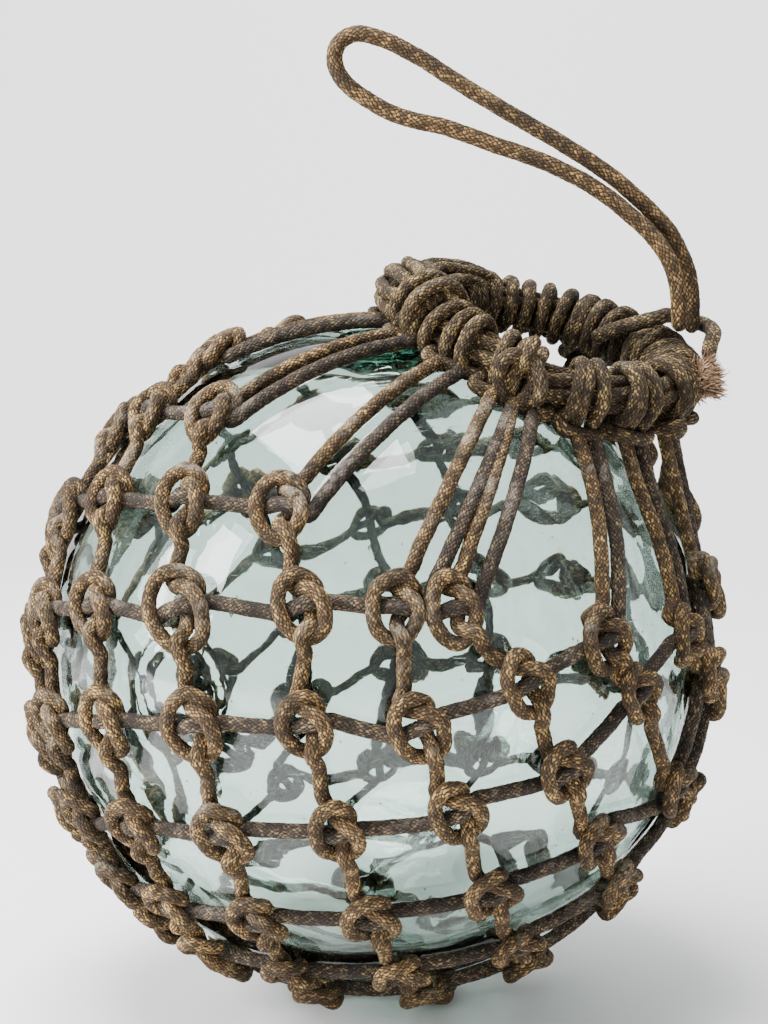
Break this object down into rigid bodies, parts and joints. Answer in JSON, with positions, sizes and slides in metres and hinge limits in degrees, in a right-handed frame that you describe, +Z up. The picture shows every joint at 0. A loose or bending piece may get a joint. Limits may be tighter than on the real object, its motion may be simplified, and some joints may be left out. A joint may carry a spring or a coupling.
{
  "type": "glass fishing float",
  "caption": "Large blown glass fishing float, pale sea green and sealed, in a knotted brown rope net with a gathered rope collar and a doubled rope handle.",
  "frame": {"origin": "on the ground under the middle of the float, at the middle of its box without the handle", "axes": "+Z up as the float stands on its knots, +Y away from the viewer, +X towards the collar's side that carries the handle"},
  "size_m": [0.3292, 0.33, 0.4448],
  "materials": {
    "float_glass": "clear pale sea-green blown glass, smooth, with seeds and a thicker green seal",
    "net_rope": "braided tarred rope, dark brown with worn golden-brown crests",
    "collar_rope": "braided tarred rope, dark brown, dusty and worn",
    "handle_rope": "weathered braided rope, brown, matted and slightly hairy"
  },
  "bodies": {
    "root": {"glass_ball": "float_glass", "net": "net_rope", "collar": "collar_rope", "handle_turn": "collar_rope", "handle_loop": "handle_rope"}
  },
  "joints": []
}
